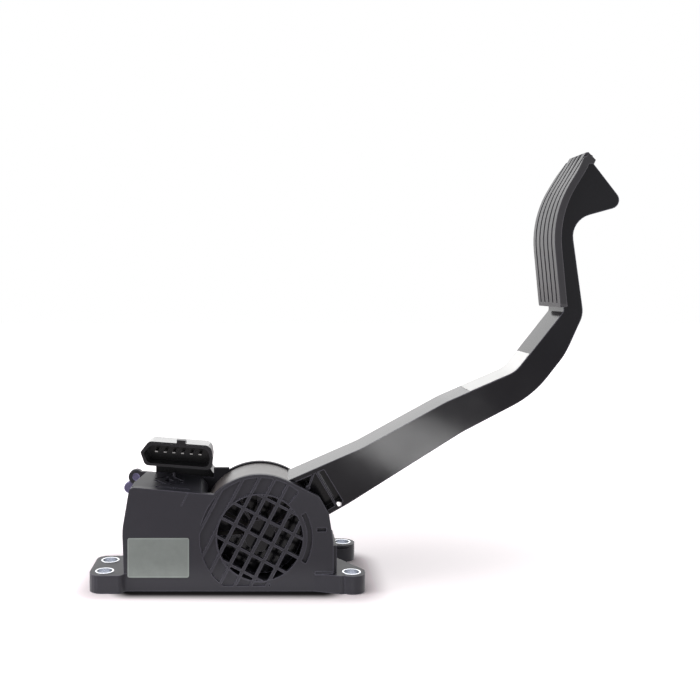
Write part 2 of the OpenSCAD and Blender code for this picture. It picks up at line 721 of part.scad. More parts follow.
// Plain sticker that follows the arm's top face over the bend
label_x0 = 118.5;
label_x1 = 151.8;
label_t = 0.25;
module arm_label() {
  color([0.93, 0.93, 0.92]) slab(-arm_y + 0.6, arm_y - 0.6) intersection() {
    difference() {
      offset(delta = label_t + 0.02) arm_shape();
      offset(delta = 0.02) arm_shape();
    }
    polygon([[label_x0, knee3[1] - 12], [label_x0 + 8, knee3[1] - 15], [label_x1 - 9, knee3[1] - 3],
      [label_x1 + 3, knee3[1] + 7], [label_x1 - 1.6, knee3[1] + 11], [label_x0 - 4, knee3[1] + 3]]);
  }
}

// Steel shaft pressed into the drum's hub, turning in the two bearings
shaft_y0 = -drum_y + 3.4;
clip_y = wall_y + 6.2;
shaft_y1 = clip_y + 2.4;
module pivot_shaft() {
  color([0.75, 0.76, 0.78]) difference() {
    bar_y(0, pivot_z, shaft_r, shaft_y0, shaft_y1);
    tube_y(0, pivot_z, shaft_r + 1, shaft_r - 0.6, clip_y, clip_y + 1.1);
  }
}
module plain_bearing(y0) {
  color([0.72, 0.6, 0.38]) tube_y(0, pivot_z, bearing_r, shaft_r + run_gap, y0, y0 + bearing_l);
}
module near_bearing() {
  plain_bearing(boss_y0 + 0.4);
}
module far_bearing() {
  plain_bearing(wall_y - bearing_l - 0.2);
}

// Wire swept along a coil around Y, with a straight leg at each end
module wire_coil(coil_r, wire_r, y0, pitch, turns, a0, leg0, leg1, sides = 8, per_turn = 24) {
  n = round(turns * per_turn);
  // Points of the path with the angle that sets each ring's plane
  path = concat(
    [[a0, 0, -leg0]],
    [for (i = [0:n]) [a0 + 360 * turns * i / n, pitch * turns * i / n, 0]],
    [[a0 + 360 * turns, pitch * turns, leg1]]);
  ring_at = function (p) [for (k = [0:sides - 1])
    let (r = coil_r + wire_r * cos(360 * k / sides), y = y0 + p[1] + wire_r * sin(360 * k / sides))
    [r * cos(p[0]) - p[2] * sin(p[0]), y, pivot_z + r * sin(p[0]) + p[2] * cos(p[0])]];
  pts = [for (p = path) each ring_at(p)];
  m = len(path);
  polyhedron(pts, concat(
    [[for (k = [0:sides - 1]) k]],
    [for (i = [0:m - 2], k = [0:sides - 1]) let (a = i * sides + k, b = i * sides + (k + 1) % sides)
      each [[a, a + sides, b + sides], [a, b + sides, b]]],
    [[for (k = [sides - 1:-1:0]) (m - 1) * sides + k]]));
}
spring_y0 = web_y1 + outer_wire / 2 + free_gap;
spring_y1 = spring_y0 + outer_pitch * spring_turns;
module outer_return_spring() {
  color([0.6, 0.6, 0.62]) wire_coil(outer_coil_r, outer_wire / 2, spring_y0, outer_pitch, spring_turns,
    start_a, 10, 10);
}
inner_y0 = boss_y0 + inner_wire / 2 + 0.2;
inner_y1 = inner_y0 + inner_pitch * spring_turns;
inner_a0 = 20;
inner_a1 = inner_a0 + 360 * spring_turns;
tang_l = 1.4;
tang_r = inner_wire / 2 - 0.14;
// Straight end of the inner spring along Y, at angle a
module tang(a, r, y0, y1) {
  bar_y(inner_coil_r * cos(a), pivot_z + inner_coil_r * sin(a), r, y0, y1);
}
module inner_return_spring() {
  color([0.6, 0.6, 0.62]) union() {
    wire_coil(inner_coil_r, inner_wire / 2, inner_y0, inner_pitch, spring_turns, inner_a0, 1.2, 1.2);
    tang(inner_a0, tang_r, web_y1 - tang_l, inner_y0);
    tang(inner_a1, tang_r, inner_y1, inner_y + tang_l);
  }
}

// Brake shoe on the drum and the coil that presses it
module friction_shoe() {
  color([0.32, 0.27, 0.22]) difference() {
    union() {
      translate([shoe_back, -shoe_w / 2, pivot_z - shoe_h / 2]) cube([shoe_l + 5, shoe_w, shoe_h]);
      translate([shoe_back, 0, pivot_z]) rotate([0, -90, 0]) cylinder(h = 4, r = 3.2);
    }
    bar_y(0, pivot_z, shoe_face_r, -20, 20);
  }
}
module spring_spigot() {
  translate([spring_wall_x + spring_wall_t - fuse, 0, pivot_z]) rotate([0, 90, 0]) cylinder(h = 4, r = 3.2);
}
module friction_spring() {
  x0 = spring_wall_x + spring_wall_t + friction_wire / 2 + 0.1;
  x1 = shoe_back - friction_wire / 2 - 0.1;
  turns = floor((x1 - x0) / (1.6 * friction_wire));
  color([0.6, 0.6, 0.62]) translate([0, 0, pivot_z]) rotate([0, 0, -90]) translate([0, 0, -pivot_z])
    wire_coil(friction_coil_r, friction_wire / 2, x0, (x1 - x0) / turns, turns, 0, 0.2, 0.2, 6, 16);
}

// Sensor body: a round pan around the pivot with a neck that rises to the connector
sensor_y0 = wall_y + seat_gap;
sensor_y1 = sensor_y0 + sensor_d;
plug_y0 = -8.5;
plug_y1 = plug_y0 + plug_l;
sensor_low = base_h + 1;
module sensor_shape() {
  polygon(rounded([[neck_x0, neck_z - 4, 3], [neck_x0, box_h - 14, 14], [-sensor_r, pivot_z - 6, 5],
    [-sensor_r, sensor_low, 8], [sensor_r - 3, sensor_low, 9],
    [sensor_r, pivot_z - 8, 14], [sensor_r, pivot_z + 12, 14], [6, pivot_z + sensor_r, 14],
    [neck_x1 + 2, box_h - 2, 8], [neck_x1, neck_z - 6.5, 3]]));
}
sensor_screws = [[neck_x0 + 8, box_h - 9.9], [-16.5, pivot_z - 12], [19, pivot_z + 5]];
module plug_frame() {
  translate([plug_c[0], 0, plug_c[1]]) rotate([0, roof_a - 0.7, 0]) children();
}
// Connector outline: rounded ends, with a keyed point on the left
module plug_shape(g) {
  w = plug_w / 2 - g;
  h = plug_h / 2 - g;
  polygon(rounded([[-w + 3.4, h, 3.5], [w - 1.5, h, 4.2], [w, 0, 3], [w, -h, 3], [-w + 2.2, -h, 3],
    [-w - 1, 0.3, 1.2]]));
}
module plug_slab(g, y0, y1) {
  plug_frame() translate([0, y1, 0]) rotate([90, 0, 0]) linear_extrude(y1 - y0) plug_shape(g);
}
pin_w = 1.6;
pin_h = 0.6;
pin_z = 0.6;
pin_y1 = sensor_y1 - 6.4;
module pin_place(i) {
  plug_frame() translate([(i - 3.5) * pin_pitch, 0, pin_z]) children();
}
module pin_block(i, g, y0, y1) {
  pin_place(i) translate([-pin_w / 2 - g, y0, -pin_h / 2 - g]) cube([pin_w + 2 * g, y1 - y0, pin_h + 2 * g]);
}
module connector_housing() {
  color([0.07, 0.07, 0.08]) difference() {
    union() {
      plug_slab(0, plug_y0, plug_y1);
      // Raised rim around the mouth and the locking nose on top
      plug_slab(-0.4, plug_y0 + 1.4, plug_y0 + 3);
      plug_frame() translate([-0.9, plug_y0, plug_h / 2 - 0.6]) rotate([90, 0, 90]) linear_extrude(5)
        polygon([[0, 0], [0, 3.1], [2.4, 3.5], [10.5, 0.6], [10.5, 0]]);
      // Neck back to the sensor body
      plug_frame() translate([-14, plug_y1 - 6, -plug_h / 2]) cube([28.5, sensor_y0 - plug_y1 + 8, plug_h - 3.6]);
      slab(sensor_y0, sensor_y1) sensor_shape();
    }
    plug_slab(plug_t, plug_y0 - 1, plug_y0 + socket_d);
    slab(sensor_y0 + sensor_t, sensor_y1 + 1) offset(delta = -sensor_t) sensor_shape();
    bar_y(0, pivot_z, carrier_r + 1, sensor_y0 - 1, sensor_y0 + sensor_t + 1);
    for (i = [1:6]) pin_block(i, seat_gap, plug_y0 + socket_d - 1, sensor_y0 + sensor_t + 1);
    for (p = sensor_screws) bar_y(p[0], p[1], screw_r + 0.2, sensor_y0 - 1, sensor_y1);
  }
  color([0.07, 0.07, 0.08]) for (p = sensor_screws)
    tube_y(p[0], p[1], screw_r + 1.8, screw_r + 0.2, sensor_y0 + 0.5, board_y0 - seat_gap);
}
module terminal(i) {
  color([0.85, 0.84, 0.8]) pin_block(i, 0, plug_y0 + socket_d - pin_l, pin_y1);
}
board_t = 1.6;
board_y0 = sensor_y1 - 6.3;
board_y1 = board_y0 + board_t;
carrier_r = 11;
carrier_y0 = wall_y + 0.8;
carrier_y1 = clip_y - 0.2;
module circuit_board() {
  color([0.1, 0.35, 0.2]) difference() {
    slab(board_y0, board_y1) offset(delta = -sensor_t - free_gap) sensor_shape();
    bar_y(0, pivot_z, shaft_r + 1.5, board_y0 - 1, board_y1 + 1);
    for (p = sensor_screws) bar_y(p[0], p[1], screw_r + 0.2, board_y0 - 1, board_y1 + 1);
    for (i = [1:6]) pin_block(i, 0.1, board_y0 - 1, board_y1 + 1);
  }
}
module wiper_carrier() {
  color([0.85, 0.83, 0.75]) difference() {
    union() {
      bar_y(0, pivot_z, shaft_r + 2.4, carrier_y0, carrier_y1);
      slab(carrier_y1 - 2, carrier_y1) translate([0, pivot_z]) circle(carrier_r);
    }
    bar_y(0, pivot_z, shaft_r + seat_gap, carrier_y0 - 1, carrier_y1 + 1);
  }
}
module wiper_contacts() {
  color([0.8, 0.62, 0.3]) for (a = [60, 150]) slab(carrier_y1 + seat_gap, carrier_y1 + 0.5)
    strip([0, pivot_z] + 9 * dir(a), a + 90, 1.6, 9);
  color([0.8, 0.62, 0.3]) slab(carrier_y1 + seat_gap, carrier_y1 + 0.5) intersection() {
    ring(10.4, 8.2);
    slice(60, 55, 155);
  }
}
module shaft_clip() {
  color([0.55, 0.55, 0.57]) slab(clip_y + 0.05, clip_y + 1.05) difference() {
    ring(shaft_r + 2.2, shaft_r - 0.5);
    translate([-2.5, pivot_z - 20]) square([5, 20]);
  }
}
module sensor_lid() {
  color([0.1, 0.1, 0.11]) difference() {
    union() {
      slab(sensor_y1 + seat_gap, sensor_y1 + lid_t) sensor_shape();
      slab(board_y1 + 1, sensor_y1 + 1) difference() {
        offset(delta = -sensor_t - free_gap) sensor_shape();
        offset(delta = -sensor_t - free_gap - 1.6) sensor_shape();
      }
      for (p = sensor_screws) bar_y(p[0], p[1], screw_r + 1.8, board_y1 + seat_gap, sensor_y1 + 1);
    }
    for (p = sensor_screws) bar_y(p[0], p[1], screw_r + 0.2, board_y0, sensor_y1 + lid_t + 1);
  }
}

// Screws along Y with the head on the far side
module screw(p, tip_y, head_y) {
  color([0.62, 0.63, 0.65]) difference() {
    union() {
      bar_y(p[0], p[1], pilot_r + 0.2, tip_y, head_y + 0.1);
      bar_y(p[0], p[1], head_r, head_y, head_y + 2.2);
    }
    translate([p[0], head_y + 2.3, p[1]]) rotate([90, 0, 0]) cylinder(h = 1.6, r = 1.7, $fn = 6);
  }
}
module cover_screw(i) {
  screw(cover_screws[i - 1], inner_y - cover_screw_l + 1, wall_y - 1 + seat_gap);
}
module sensor_screw(i) {
  screw(sensor_screws[i - 1], inner_y + 1, sensor_y1 + lid_t + seat_gap);
}

module rear_plug() {
  color([0.33, 0.32, 0.4]) union() {
    bar_y(plug_pos[0], plug_pos[1], plug_hole_r, inner_y + 0.4, wall_y + 1);
    bar_y(plug_pos[0], plug_pos[1], 3.8, wall_y + seat_gap, wall_y + 3.5);
    bar_y(lobe_pos[0], lobe_pos[1], 3.3, wall_y + seat_gap, wall_y + 3.5);
    slab(wall_y + seat_gap, wall_y + 2.6) strip((plug_pos + lobe_pos) / 2, 57, 4.4, 8);
  }
}
label_w = 34.2;
label_h = 22;
label_z0 = 7.7;
module housing_label() {
  color([0.5, 0.54, 0.52]) slab(-wall_y - 0.22, -wall_y - 0.02)
    polygon(rounded([[-box_l + 3, label_z0, 1.2], [-box_l + 3 + label_w, label_z0, 1.2],
      [-box_l + 3 + label_w, label_z0 + label_h, 1.2], [-box_l + 3, label_z0 + label_h, 1.2]]));
}
module mount_bush(i) {
  p = bolts[i - 1];
  color([0.8, 0.81, 0.83]) translate([p[0], p[1], 0]) difference() {
    cylinder(h = base_h + bush_up, r = bush_r);
    translate([0, 0, -1]) cylinder(h = base_h + 3, r = bolt_r);
  }
}

housing();
side_cover();
pedal_arm();
pedal_pad();
arm_label();
pivot_shaft();
near_bearing();
far_bearing();
outer_return_spring();
inner_return_spring();
friction_shoe();
friction_spring();
connector_housing();
sensor_lid();
circuit_board();
wiper_carrier();
wiper_contacts();
shaft_clip();
idle_stop();
full_travel_stop();
rear_plug();
housing_label();
terminal(1);  // terminal_1
terminal(2);  // terminal_2
terminal(3);  // terminal_3
terminal(4);  // terminal_4
terminal(5);  // terminal_5
terminal(6);  // terminal_6
mount_bush(1);  // mount_bush_1
mount_bush(2);  // mount_bush_2
mount_bush(3);  // mount_bush_3
mount_bush(4);  // mount_bush_4
cover_screw(1);  // cover_screw_1
cover_screw(2);  // cover_screw_2
cover_screw(3);  // cover_screw_3
cover_screw(4);  // cover_screw_4
sensor_screw(1);  // sensor_screw_1
sensor_screw(2);  // sensor_screw_2
sensor_screw(3);  // sensor_screw_3
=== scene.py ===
"""Accelerator pedal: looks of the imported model. Laid out as an add-on and run as a script."""

import json
import math

import bmesh
import bpy
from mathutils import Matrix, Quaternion, Vector


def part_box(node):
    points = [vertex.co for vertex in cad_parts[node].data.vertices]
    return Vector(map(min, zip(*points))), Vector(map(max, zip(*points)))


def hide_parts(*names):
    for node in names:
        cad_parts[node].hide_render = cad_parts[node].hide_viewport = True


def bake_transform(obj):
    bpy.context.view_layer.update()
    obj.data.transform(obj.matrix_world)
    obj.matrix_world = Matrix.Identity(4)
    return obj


bl_info = {
    "name": "Accelerator pedal looks",
    "version": (1, 0, 0),
    "blender": (4, 5, 0),
    "location": "3D View > Sidebar > Pedal",
    "description": "Materials, rounded edges, labels, springs and studio of the pedal",
    "category": "Object",
}

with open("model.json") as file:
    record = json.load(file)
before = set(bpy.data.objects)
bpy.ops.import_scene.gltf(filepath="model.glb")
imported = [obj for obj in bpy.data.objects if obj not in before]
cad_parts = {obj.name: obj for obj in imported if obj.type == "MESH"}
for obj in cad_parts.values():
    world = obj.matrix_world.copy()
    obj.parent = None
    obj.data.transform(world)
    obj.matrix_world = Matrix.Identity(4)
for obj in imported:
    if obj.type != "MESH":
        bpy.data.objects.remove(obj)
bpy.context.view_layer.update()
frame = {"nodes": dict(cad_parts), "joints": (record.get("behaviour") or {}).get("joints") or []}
NODES = frame["nodes"]
PIVOT = Vector((0.0, 0.0, frame["joints"][0]["pos_m"][2]))

# What every surface group puts out
SURFACE_OUTPUTS = (
    ("Colour", "NodeSocketColor"),
    ("Roughness", "NodeSocketFloat"),
    ("Height", "NodeSocketFloat"),
)

# Lengths here and below are in metres, and angles in degrees.
# Edges get a painted highlight where the rounded normal times the true one falls below the start
EDGE_HIGHLIGHT_START = 0.997
EDGE_HIGHLIGHT_GAIN = 16.0
EDGE_HIGHLIGHT_FLOOR = 0.35
RING_DEPTH = 0.000004
COAT_ROUGHNESS = 0.2
BORDER_WIDTH = 0.0007
COVER_SHADE = 0.8
# The drum's faces, which get the painted light, lie this near to the pivot's axis
DRUM_REACH = 0.0358
# The glossy faces of the connector lie within this depth of its highest point
GLOSS_DEPTH = 0.005
# Faces that lie flatter to each other than this are joined before the edges are rounded
FLAT_ANGLE = 0.4
WIRE_ANGLE = 60.0

# Rectangles on the floor, as centre and half size
BASE_OUTLINE = ((-0.018, 0.010, 0.0), (0.070, 0.026, 1.0))
NEAR_STRIP = ((-0.018, -0.007, 0.0), (0.052, 0.010, 1.0))
# Distances from those rectangles between which a part of the floor's look comes or goes
NEAR_RISE = (0.007, 0.024)
FAR_RISE = (0.03, 0.3)
BRIGHT_FALL = (0.03, 0.14)
SHADE_FALL = (0.005, 0.016)
FAR_GLOW = 0.45
SHADE_DEPTH = 0.985
FLOOR_COLOUR = (0.90, 0.82, 0.85)

CAMERA_PLACE = (0.0, -0.5185, 0.173)
CAMERA_SHIFT = (90.0 / 700.0, -70.0 / 700.0)
# Place, target, width, height, setting that holds the power, turn and spread
LAMPS = {
    "Top lamp": ((-0.25, -0.38, 0.86), (0.03, 0.0, 0.05), 1.0, 0.8, "top_power", 0.0, 180.0),
    "Back lamp": ((0.0, 1.6, 0.75), (0.0, 0.0, 0.15), 3.0, 1.5, "back_power", 0.0, 180.0),
    "Side lamp": ((-0.38, -0.36, 0.33), (-0.04, 0.0, 0.05), 0.4, 0.4, "side_power", 0.0, 180.0),
    "Left lamp": ((-0.50, -0.16, 0.18), (-0.02, 0.0, 0.06), 0.25, 0.2, "left_power", 0.0, 180.0),
    "Low card": ((0.146, -0.5, 0.004), (0.146, -0.5, 0.5), 0.13, 0.5, "card_power", 12.0, 180.0),
    "Base strip": ((-0.02, -0.3, 0.005), (-0.02, 0.0, 0.005), 0.4, 0.012, "strip_power", 0.0, 4.0),
}


class MouldedPlasticSettings(bpy.types.PropertyGroup):
    """Colours and surface of the moulded plastics."""

    housing_colour: bpy.props.FloatVectorProperty(
        name="Housing colour", description="Base colour of housing and side cover",
        subtype="COLOR", size=3, min=0.0, max=1.0, default=(0.0198, 0.0192, 0.0246))
    arm_colour: bpy.props.FloatVectorProperty(
        name="Arm colour", description="Base colour of the pedal arm",
        subtype="COLOR", size=3, min=0.0, max=1.0, default=(0.0072, 0.0070, 0.0088))
    # Lighter colour of the drum's faces: painted light for the light that falls on the drum
    lit_drum_colour: bpy.props.FloatVectorProperty(
        name="Lit drum colour", description="Colour of the drum of the pedal arm, painted lighter for the light on it",
        subtype="COLOR", size=3, min=0.0, max=1.0, default=(0.095, 0.083, 0.082))
    pad_colour: bpy.props.FloatVectorProperty(
        name="Pad colour", description="Base colour of the tread pad",
        subtype="COLOR", size=3, min=0.0, max=1.0, default=(0.024, 0.023, 0.026))
    connector_colour: bpy.props.FloatVectorProperty(
        name="Connector colour", description="Base colour of connector and sensor",
        subtype="COLOR", size=3, min=0.0, max=1.0, default=(0.004, 0.004, 0.005))
    roughness: bpy.props.FloatProperty(
        name="Roughness", description="Mean roughness of the moulded surfaces",
        subtype="FACTOR", min=0.05, max=1.0, default=0.42)
    grain_size: bpy.props.FloatProperty(
        name="Grain size", description="Size of the moulded skin's grain",
        subtype="DISTANCE", unit="LENGTH", min=0.0001, max=0.003, default=0.0005)
    grain_depth: bpy.props.FloatProperty(
        name="Grain depth", description="Depth of the moulded skin's grain",
        subtype="DISTANCE", unit="LENGTH", min=0.0, max=0.0005, default=0.000013)


class EdgeSettings(bpy.types.PropertyGroup):
    """Rounding of the moulded edges."""

    moulded: bpy.props.FloatProperty(
        name="Moulded edges", description="Rounding of housing and connector edges",
        subtype="DISTANCE", unit="LENGTH", min=0.0, max=0.001, default=0.0005)
    arm: bpy.props.FloatProperty(
        name="Arm edges", description="Rounding of the pedal arm's edges",
        subtype="DISTANCE", unit="LENGTH", min=0.0, max=0.001, default=0.0007)
    pad: bpy.props.FloatProperty(
        name="Pad edges", description="Rounding of the tread pad's edges",
        subtype="DISTANCE", unit="LENGTH", min=0.0, max=0.001, default=0.0003)
    metal: bpy.props.FloatProperty(
        name="Metal edges", description="Rounding of bushes, screws and shaft",
        subtype="DISTANCE", unit="LENGTH", min=0.0, max=0.0005, default=0.00015)


class SpringSettings(bpy.types.PropertyGroup):
    """Where the return springs, wound along Y, stand still and where they turn with the pedal."""

    outer_fixed: bpy.props.FloatProperty(
        name="Outer fixed end", description="Y of the outer spring's end that the housing holds",
        subtype="DISTANCE", unit="LENGTH", default=0.0112)
    outer_free: bpy.props.FloatProperty(
        name="Outer free end", description="Y of the outer spring's end that the pedal turns",
        subtype="DISTANCE", unit="LENGTH", default=0.0005)
    inner_fixed: bpy.props.FloatProperty(
        name="Inner fixed end", description="Y of the inner spring's end that the housing holds",
        subtype="DISTANCE", unit="LENGTH", default=0.0107)
    inner_free: bpy.props.FloatProperty(
        name="Inner free end", description="Y of the inner spring's end that the pedal turns",
        subtype="DISTANCE", unit="LENGTH", default=0.0013)


class StudioSettings(bpy.types.PropertyGroup):
    """Lamps, floor and camera."""

    top_power: bpy.props.FloatProperty(
        name="Top lamp", description="Power of the large lamp above",
        subtype="POWER", unit="POWER", min=0.0, max=50.0, default=3.0)
    back_power: bpy.props.FloatProperty(
        name="Back lamp", description="Power of the wide panel behind",
        subtype="POWER", unit="POWER", min=0.0, max=100.0, default=12.2)
    side_power: bpy.props.FloatProperty(
        name="Side lamp", description="Power of the soft lamp at the front left",
        subtype="POWER", unit="POWER", min=0.0, max=20.0, default=0.55)
    left_power: bpy.props.FloatProperty(
        name="Left lamp",
        description="Power of the small lamp low at the left, which reaches under the connector",
        subtype="POWER", unit="POWER", min=0.0, max=10.0, default=1.9)
    card_power: bpy.props.FloatProperty(
        name="Low card", description="Power of the card that lies low in front",
        subtype="POWER", unit="POWER", min=0.0, max=10.0, default=3.1)
    strip_power: bpy.props.FloatProperty(
        name="Base strip", description="Power of the narrow lamp that grazes the base flange",
        subtype="POWER", unit="POWER", min=0.0, max=5.0, default=0.0045)
    floor_glow: bpy.props.FloatProperty(
        name="Floor glow",
        description="Extra white that the floor shows to the camera and in reflections",
        min=0.0, max=1.0, default=0.42)
    near_glow: bpy.props.FloatProperty(
        name="Near glow",
        description="Extra white that the floor close to the base shows in reflections",
        min=0.0, max=5.0, default=0.8)
    world_strength: bpy.props.FloatProperty(
        name="Room light", description="Strength of the even light from all sides",
        min=0.0, max=2.0, default=0.32)
    focal_length: bpy.props.FloatProperty(
        name="Focal length", description="Focal length of the camera in millimetres",
        min=20.0, max=200.0, default=46.286)


SETTINGS = {
    "pedal_plastic": MouldedPlasticSettings,
    "pedal_edges": EdgeSettings,
    "pedal_springs": SpringSettings,
    "pedal_studio": StudioSettings,
}


def new_group(name, inputs):
    """A shader node group with its sockets, and a flag that says whether it is new."""
    group = bpy.data.node_groups.get(name)
    if group:
        return group, False
    group = bpy.data.node_groups.new(name, "ShaderNodeTree")
    for label, kind, value in inputs:
        socket = group.interface.new_socket(label, in_out="INPUT", socket_type=kind)
        socket.default_value = value
    for label, kind in SURFACE_OUTPUTS:
        group.interface.new_socket(label, in_out="OUTPUT", socket_type=kind)
    return group, True


def add(tree, kind, **values):
    """A node of that kind with its properties set."""
    node = tree.nodes.new(kind)
    for key, value in values.items():
        setattr(node, key, value)
    return node


def feed(tree, socket, value):
    """Gives a socket a value, or links it where the value is another node's output."""
    if isinstance(value, bpy.types.NodeSocket):
        tree.links.new(value, socket)
    else:
        socket.default_value = value


def maths(tree, operation, a, b, c=None, clamp=False):
    """A maths node; each operand is a number or an output socket."""
    node = add(tree, "ShaderNodeMath", operation=operation, use_clamp=clamp)
    for socket, value in zip(node.inputs, (a, b, c)):
        if value is not None:
            feed(tree, socket, value)
    return node.outputs[0]


def vector_steps(tree, vector, steps):
    """A chain of vector maths nodes; each step is an operation and its second operand."""
    for operation, value in steps:
        node = add(tree, "ShaderNodeVectorMath", operation=operation)
        tree.links.new(vector, node.inputs[0])
        if value is not None:
            feed(tree, node.inputs[1], value)
        single = operation in ("DOT_PRODUCT", "LENGTH")
        vector = node.outputs["Value" if single else "Vector"]
    return vector


def noise(tree, coord, scale, detail, rough=0.5):
    """A noise texture's value at that coordinate."""
    node = add(tree, "ShaderNodeTexNoise")
    node.inputs["Detail"].default_value = detail
    node.inputs["Roughness"].default_value = rough
    tree.links.new(coord, node.inputs["Vector"])
    feed(tree, node.inputs["Scale"], scale)
    return node.outputs["Fac"]


def varied(tree, cloud, weight, base, mean=0.5, clamp=False):
    """A base value that a noise moves up and down around its own mean."""
    centred = maths(tree, "SUBTRACT", cloud, mean)
    return maths(tree, "MULTIPLY_ADD", centred, weight, base, clamp=clamp)


def scaled(tree, vector, factor):
    """A colour or vector, as a value or an output socket, multiplied by a socket."""
    node = add(tree, "ShaderNodeVectorMath", operation="SCALE")
    feed(tree, node.inputs[0], vector)
    tree.links.new(factor, node.inputs["Scale"])
    return node.outputs[0]


def finish_group(group, given, shade, rough, height):
    """Links the shaded colour, the roughness and the height to the group's outputs."""
    result = add(group, "NodeGroupOutput").inputs
    group.links.new(scaled(group, given["Colour"], shade), result["Colour"])
    group.links.new(rough, result["Roughness"])
    group.links.new(height, result["Height"])
    return group


def moulded_skin():
    """Fine spark-eroded grain and slight colour drift of a moulded plastic, with a painted
    highlight on its rounded edges.
    """
    group, new = new_group("Moulded Skin", [
        ("Colour", "NodeSocketColor", (0.03, 0.03, 0.03, 1.0)),
        ("Roughness", "NodeSocketFloat", 0.4),
        ("Grain Scale", "NodeSocketFloat", 2000.0),
        ("Cloud Scale", "NodeSocketFloat", 45.0),
        ("Drift", "NodeSocketFloat", 0.15),
        ("Edge Width", "NodeSocketFloat", 0.0009),
        ("Edge Wear", "NodeSocketFloat", 2.0),
    ])
    if not new:
        return group
    given = add(group, "NodeGroupInput").outputs
    coord = add(group, "ShaderNodeTexCoord").outputs["Object"]
    cloud = noise(group, coord, given["Cloud Scale"], 3.0)
    grain = noise(group, coord, given["Grain Scale"], 1.0)
    # Painted edge highlight: lighter where the rounded normal leaves the true one, in patches like
    # the clouds
    rounded = add(group, "ShaderNodeBevel", samples=4)
    group.links.new(given["Edge Width"], rounded.inputs["Radius"])
    true_normal = add(group, "ShaderNodeNewGeometry").outputs["True Normal"]
    parallel = vector_steps(group, rounded.outputs["Normal"], [("DOT_PRODUCT", true_normal)])
    leaning = maths(group, "SUBTRACT", EDGE_HIGHLIGHT_START, parallel)
    painted_edge_light = maths(group, "MULTIPLY", leaning, EDGE_HIGHLIGHT_GAIN, clamp=True)
    painted_edge_light = maths(group, "MULTIPLY", painted_edge_light, maths(group, "ADD", cloud, EDGE_HIGHLIGHT_FLOOR))
    shade = varied(group, cloud, given["Drift"], 1.0)
    # The rounded edges are lightened by the painted highlight
    shade = maths(group, "MULTIPLY_ADD", painted_edge_light, given["Edge Wear"], shade)
    rough = varied(group, cloud, 0.16, given["Roughness"])
    rough = varied(group, grain, 0.10, rough, clamp=True)
    return finish_group(group, given, shade, rough, grain)


def turned_metal():
    """Fine rings left by turning around an axis, with slight stains."""
    group, new = new_group("Turned Metal", [
        ("Colour", "NodeSocketColor", (0.7, 0.7, 0.7, 1.0)),
        ("Roughness", "NodeSocketFloat", 0.25),
        ("Ring Scale", "NodeSocketFloat", 6000.0),
        ("Stain Scale", "NodeSocketFloat", 300.0),
    ])
    if not new:
        return group
    given = add(group, "NodeGroupInput").outputs
    coord = add(group, "ShaderNodeTexCoord").outputs["Object"]
    stretch = add(group, "ShaderNodeMapping")
    stretch.inputs["Scale"].default_value = (1.0, 1.0, 6.0)
    group.links.new(coord, stretch.inputs["Vector"])
    rings = noise(group, stretch.outputs[0], given["Ring Scale"], 1.0)
    stain = noise(group, coord, given["Stain Scale"], 4.0)
    shade = varied(group, stain, 0.35, 1.0)
    rough = varied(group, rings, 0.2, given["Roughness"], clamp=True)
    return finish_group(group, given, shade, rough, rings)


def printed_film():
    """Mottled face of a foil or paper sticker, with an unprinted border."""
    group, new = new_group("Printed Film", [
        ("Colour", "NodeSocketColor", (0.4, 0.45, 0.42, 1.0)),
        ("Roughness", "NodeSocketFloat", 0.4),
        ("Mottle Scale", "NodeSocketFloat", 160.0),
        ("Mottle", "NodeSocketFloat", 0.2),
        ("Centre", "NodeSocketVector", (0.0, 0.0, 0.0)),
        ("Half Size", "NodeSocketVector", (1.0, 1.0, 1.0)),
        ("Border", "NodeSocketFloat", 0.0),
    ])
    if not new:
        return group
    given = add(group, "NodeGroupInput").outputs
    coord = add(group, "ShaderNodeTexCoord").outputs["Object"]
    slow = noise(group, coord, given["Mottle Scale"], 4.0, rough=0.6)
    fine = noise(group, coord, 5200.0, 1.0)
    mixed = maths(group, "MULTIPLY_ADD", fine, 0.3, slow)
    shade = varied(group, mixed, given["Mottle"], 1.0, mean=0.65)
    # How far the point is inside the label's rectangle, as a negative number
    inside = vector_steps(group, coord, [
        ("SUBTRACT", given["Centre"]), ("ABSOLUTE", None), ("SUBTRACT", given["Half Size"])])
    sides = add(group, "ShaderNodeSeparateXYZ")
    group.links.new(inside, sides.inputs[0])
    nearest = maths(group, "MAXIMUM", sides.outputs["X"], sides.outputs["Z"])
    rim = maths(group, "GREATER_THAN", nearest, -BORDER_WIDTH)
    shade = maths(group, "MULTIPLY_ADD", rim, given["Border"], shade)
    rough = maths(group, "MULTIPLY_ADD", slow, 0.15, given["Roughness"], clamp=True)
    return finish_group(group, given, shade, rough, fine)


def material(name, group, inputs, depth, metallic=0.0, specular=0.5, coat=0.0):
    """A Principled material whose colour, roughness and bump come from a surface group."""
    made = bpy.data.materials.new(name)
    made.use_nodes = True
    tree = made.node_tree
    shader = tree.nodes["Principled BSDF"]
    shader.inputs["Metallic"].default_value = metallic
    shader.inputs["Specular IOR Level"].default_value = specular
    shader.inputs["Coat Weight"].default_value = coat
    shader.inputs["Coat Roughness"].default_value = COAT_ROUGHNESS
    surface = add(tree, "ShaderNodeGroup", node_tree=group)
    for label, value in inputs.items():
        colour = surface.inputs[label].type == "RGBA"
        surface.inputs[label].default_value = (*value, 1.0) if colour else value
    bump = add(tree, "ShaderNodeBump")
    bump.inputs["Strength"].default_value = 1.0
    bump.inputs["Distance"].default_value = depth
    tree.links.new(surface.outputs["Height"], bump.inputs["Height"])
    tree.links.new(surface.outputs["Colour"], shader.inputs["Base Color"])
    tree.links.new(surface.outputs["Roughness"], shader.inputs["Roughness"])
    tree.links.new(bump.outputs["Normal"], shader.inputs["Normal"])
    return made


